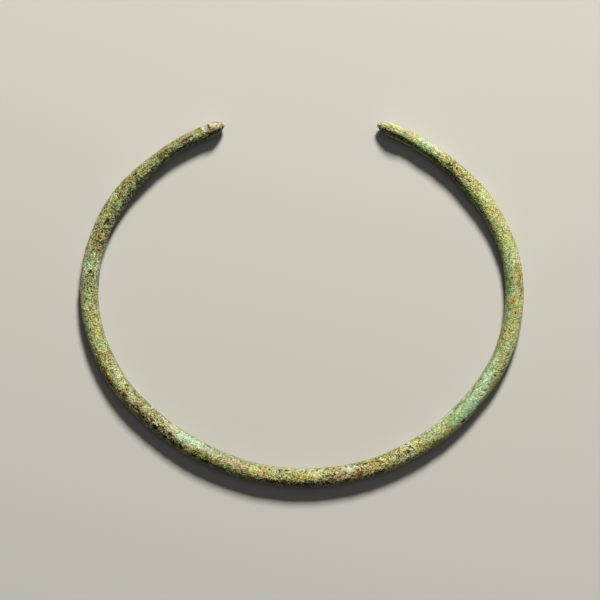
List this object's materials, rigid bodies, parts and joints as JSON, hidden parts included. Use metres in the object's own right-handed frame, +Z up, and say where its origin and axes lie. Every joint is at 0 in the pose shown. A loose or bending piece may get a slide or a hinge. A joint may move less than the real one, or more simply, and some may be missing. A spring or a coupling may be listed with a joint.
{
  "type": "serpent-head bracelet",
  "caption": "Open oval bracelet of cast copper-alloy rod, thinning at each arm to a small worn serpent head at the gap, slipped sideways over the wrist.",
  "frame": {"origin": "under the middle of the bracelet's box, on the surface that it lies on", "axes": "+X across the hoop's width, +Y towards the gap between the heads, +Z up through the hoop"},
  "size_m": [0.0682, 0.0562, 0.003],
  "materials": {
    "copper_alloy_patina": "matt, finely granular green, ochre and brown corrosion with dark pits"
  },
  "bodies": {
    "root": {"bracelet": "copper_alloy_patina"}
  },
  "joints": []
}
